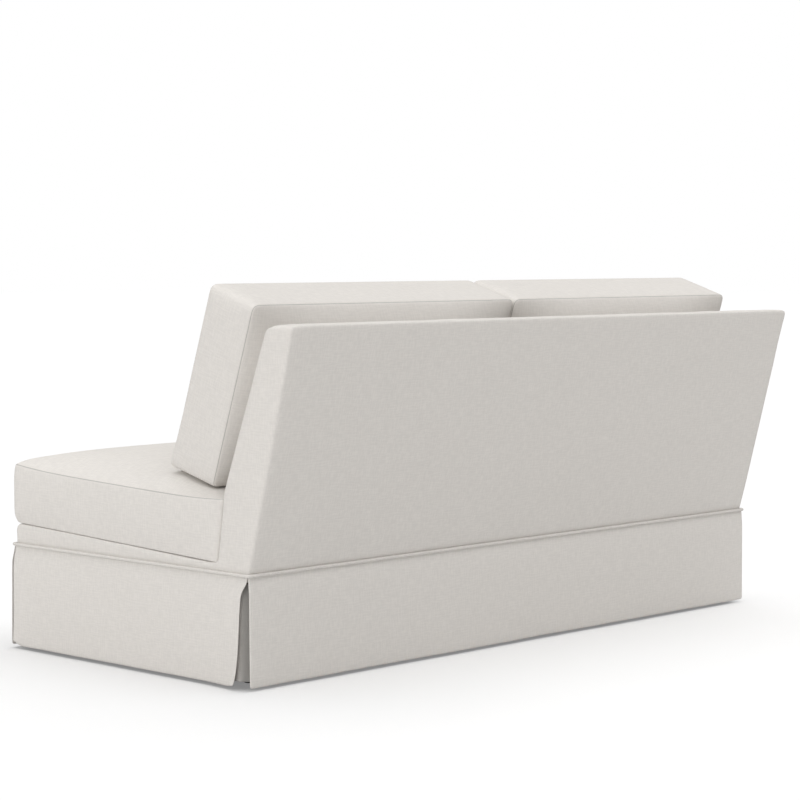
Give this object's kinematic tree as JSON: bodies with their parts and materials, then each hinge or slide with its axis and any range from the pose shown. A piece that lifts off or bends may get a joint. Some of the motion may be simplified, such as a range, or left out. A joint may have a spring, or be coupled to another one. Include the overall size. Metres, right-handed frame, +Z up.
{
  "type": "skirted armless loveseat",
  "caption": "Slipcovered armless loveseat with a pleat-cornered skirt, a corded welt, a raked back and loose boxed seat and back cushions on a hardwood frame",
  "frame": {"origin": "bottom centre of the bounding box, on the floor", "axes": "+X is the sitter's left along the width, -Y is the front, +Z is up"},
  "size_m": [1.8596, 0.9823, 0.8812],
  "materials": {
    "slipcover_linen": "matte",
    "cushion_linen": "matte",
    "welt_linen": "matte",
    "deck_cloth": "matte",
    "dust_cloth": "matte",
    "padding": "matte",
    "core_foam": "matte",
    "webbing": "matte",
    "backing_board": "matte",
    "frame_wood": "satin",
    "leg_wood": "satin",
    "steel": "satin",
    "spring_steel": "satin",
    "glide_plastic": "matte",
    "zip_tape": "matte",
    "zip_metal": "satin"
  },
  "bodies": {
    "base": {"back_lumbar_rail": "frame_wood", "back_post_centre": "frame_wood", "back_post_left": "frame_wood", "back_post_right": "frame_wood", "back_seat_rail": "frame_wood", "back_top_pad": "padding", "back_top_rail": "frame_wood", "back_webbing": "webbing", "centre_rail": "frame_wood", "corner_blocks": "frame_wood", "deck_cover": "deck_cloth", "deck_pad": "padding", "dust_cover": "dust_cloth", "end_panel_left": "slipcover_linen", "end_panel_right": "slipcover_linen", "end_rail_left": "frame_wood", "end_rail_right": "frame_wood", "front_border": "slipcover_linen", "front_rail": "frame_wood", "front_skirt": "slipcover_linen", "inside_back_cover": "slipcover_linen", "inside_back_pad": "padding", "leg_bolts": "steel", "leg_centre": "leg_wood", "leg_front_left": "leg_wood", "leg_front_right": "leg_wood", "leg_glides": "glide_plastic", "leg_rear_left": "leg_wood", "leg_rear_right": "leg_wood", "outside_back_board": "backing_board", "outside_back_cover": "slipcover_linen", "pleat_flap_front_left": "slipcover_linen", "pleat_flap_front_right": "slipcover_linen", "pleat_flap_rear_left": "slipcover_linen", "pleat_flap_rear_right": "slipcover_linen", "rear_rail": "frame_wood", "rear_skirt": "slipcover_linen", "seat_springs": "spring_steel", "skirt_left": "slipcover_linen", "skirt_right": "slipcover_linen", "skirt_welt": "welt_linen", "spring_clips": "steel"},
    "seat_cushion_left": {"seat_cover_left": "cushion_linen", "seat_core_left": "core_foam", "seat_zip_left": "zip_tape"},
    "seat_slider_left": {"seat_slider_left": "zip_metal"},
    "back_cushion_left": {"back_cover_left": "cushion_linen", "back_core_left": "core_foam", "back_zip_left": "zip_tape"},
    "back_slider_left": {"back_slider_left": "zip_metal"},
    "seat_cushion_right": {"seat_cover_right": "cushion_linen", "seat_core_right": "core_foam", "seat_zip_right": "zip_tape"},
    "seat_slider_right": {"seat_slider_right": "zip_metal"},
    "back_cushion_right": {"back_cover_right": "cushion_linen", "back_core_right": "core_foam", "back_zip_right": "zip_tape"},
    "back_slider_right": {"back_slider_right": "zip_metal"}
  },
  "joints": [
    {"name": "seat_cushion_left_pull", "type": "slide", "parent": "base", "child": "seat_cushion_left", "axis": [0, -0.999, 0.0443], "range_m": [0, 0.76]},
    {"name": "seat_zip_left_run", "type": "slide", "parent": "seat_cushion_left", "child": "seat_slider_left", "axis": [1, 0, 0], "range_m": [0, 0.7]},
    {"name": "back_cushion_left_lift", "type": "slide", "parent": "base", "child": "back_cushion_left", "axis": [0, 0.3155, 0.9489], "range_m": [0, 0.48]},
    {"name": "back_zip_left_run", "type": "slide", "parent": "back_cushion_left", "child": "back_slider_left", "axis": [1, 0, 0], "range_m": [0, 0.655]},
    {"name": "seat_cushion_right_pull", "type": "slide", "parent": "base", "child": "seat_cushion_right", "axis": [0, -0.999, 0.0443], "range_m": [0, 0.76]},
    {"name": "seat_zip_right_run", "type": "slide", "parent": "seat_cushion_right", "child": "seat_slider_right", "axis": [-1, 0, 0], "range_m": [0, 0.7]},
    {"name": "back_cushion_right_lift", "type": "slide", "parent": "base", "child": "back_cushion_right", "axis": [0, 0.3155, 0.9489], "range_m": [0, 0.48]},
    {"name": "back_zip_right_run", "type": "slide", "parent": "back_cushion_right", "child": "back_slider_right", "axis": [-1, 0, 0], "range_m": [0, 0.655]}
  ]
}
